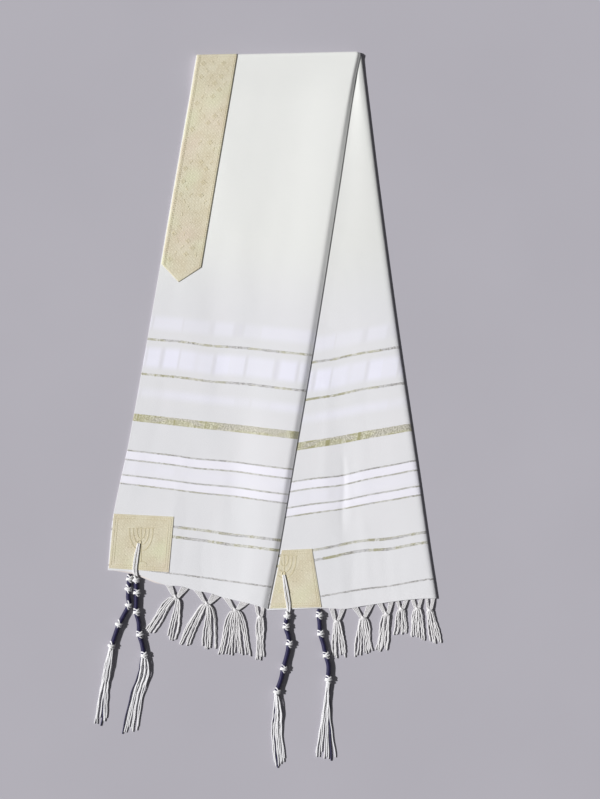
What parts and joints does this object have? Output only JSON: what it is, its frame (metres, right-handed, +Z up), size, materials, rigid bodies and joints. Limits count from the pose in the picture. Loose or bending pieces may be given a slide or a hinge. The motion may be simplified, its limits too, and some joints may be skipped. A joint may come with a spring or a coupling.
{
  "type": "prayer shawl",
  "caption": "White prayer shawl with gold stripes, neckband, corner patches, knotted fringe and wound corner tassels, folded in half twice and laid flat.",
  "frame": {"origin": "middle of the underside's box, on the surface that the shawl lies on", "axes": "+Y along the folded legs towards the crosswise fold, +X to the right seen from above, +Z up"},
  "size_m": [0.5825, 1.1974, 0.0118],
  "materials": {
    "cloth": "fine woven white cloth with metallic gold and satin stripes",
    "under_cloth": "fine woven off-white cloth, the layers that don't show",
    "brocade": "cream tone-on-tone brocade with a soft sheen",
    "white_yarn": "matte white twisted yarn",
    "navy_thread": "matte dark blue thread, tightly wound"
  },
  "bodies": {
    "root": {"front_leg": "cloth", "back_leg": "cloth", "hidden_layers": "under_cloth", "atarah": "brocade", "corner_patch_front": "brocade", "corner_patch_back": "brocade", "loop_front": "white_yarn", "loop_back": "white_yarn", "fringe_front_1": "white_yarn", "fringe_front_2": "white_yarn", "fringe_front_3": "white_yarn", "fringe_front_4": "white_yarn", "fringe_back_1": "white_yarn", "fringe_back_2": "white_yarn", "fringe_back_3": "white_yarn", "fringe_back_4": "white_yarn", "fringe_back_5": "white_yarn", "fringe_back_6": "white_yarn", "tzitzit_left_tassel": "white_yarn", "tzitzit_front_tassel": "white_yarn", "tzitzit_back_tassel": "white_yarn", "tzitzit_right_tassel": "white_yarn", "tzitzit_left_cord": "navy_thread", "tzitzit_front_cord": "navy_thread", "tzitzit_back_cord": "navy_thread", "tzitzit_right_cord": "navy_thread"}
  },
  "joints": []
}
